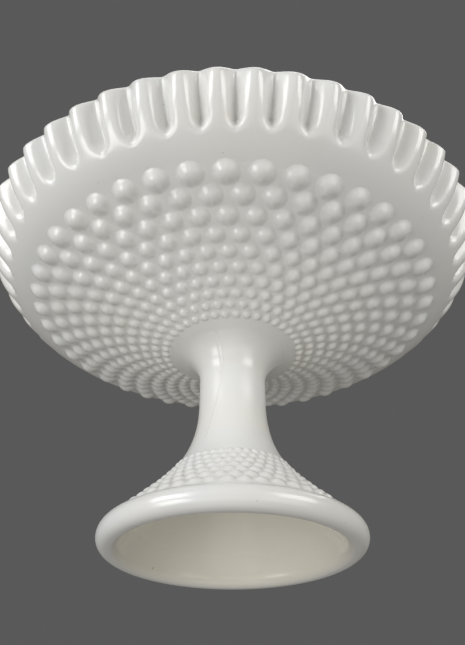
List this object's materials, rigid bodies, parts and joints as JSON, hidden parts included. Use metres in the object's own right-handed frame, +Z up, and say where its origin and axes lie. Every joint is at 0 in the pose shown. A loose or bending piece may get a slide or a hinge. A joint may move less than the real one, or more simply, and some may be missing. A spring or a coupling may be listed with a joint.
{
  "type": "cake stand",
  "caption": "Footed cake stand in opaque white pressed glass: wide shallow plate with a crimped rim, knobbed underside, waisted stem and hollow flared foot.",
  "frame": {"origin": "centre of the ring that the foot stands on, at the height of the table", "axes": "+Z up along the stem's axis; the whole stand is round about it"},
  "size_m": [0.3188, 0.3184, 0.1987],
  "materials": {
    "milk_glass": "glossy opaque white, fire-polished"
  },
  "bodies": {
    "root": {"serving_plate": "milk_glass", "crimped_rim": "milk_glass", "plate_hobnails": "milk_glass", "collar": "milk_glass", "stem": "milk_glass", "foot_skirt": "milk_glass", "foot_hobnails": "milk_glass", "foot_ring": "milk_glass"}
  },
  "joints": []
}
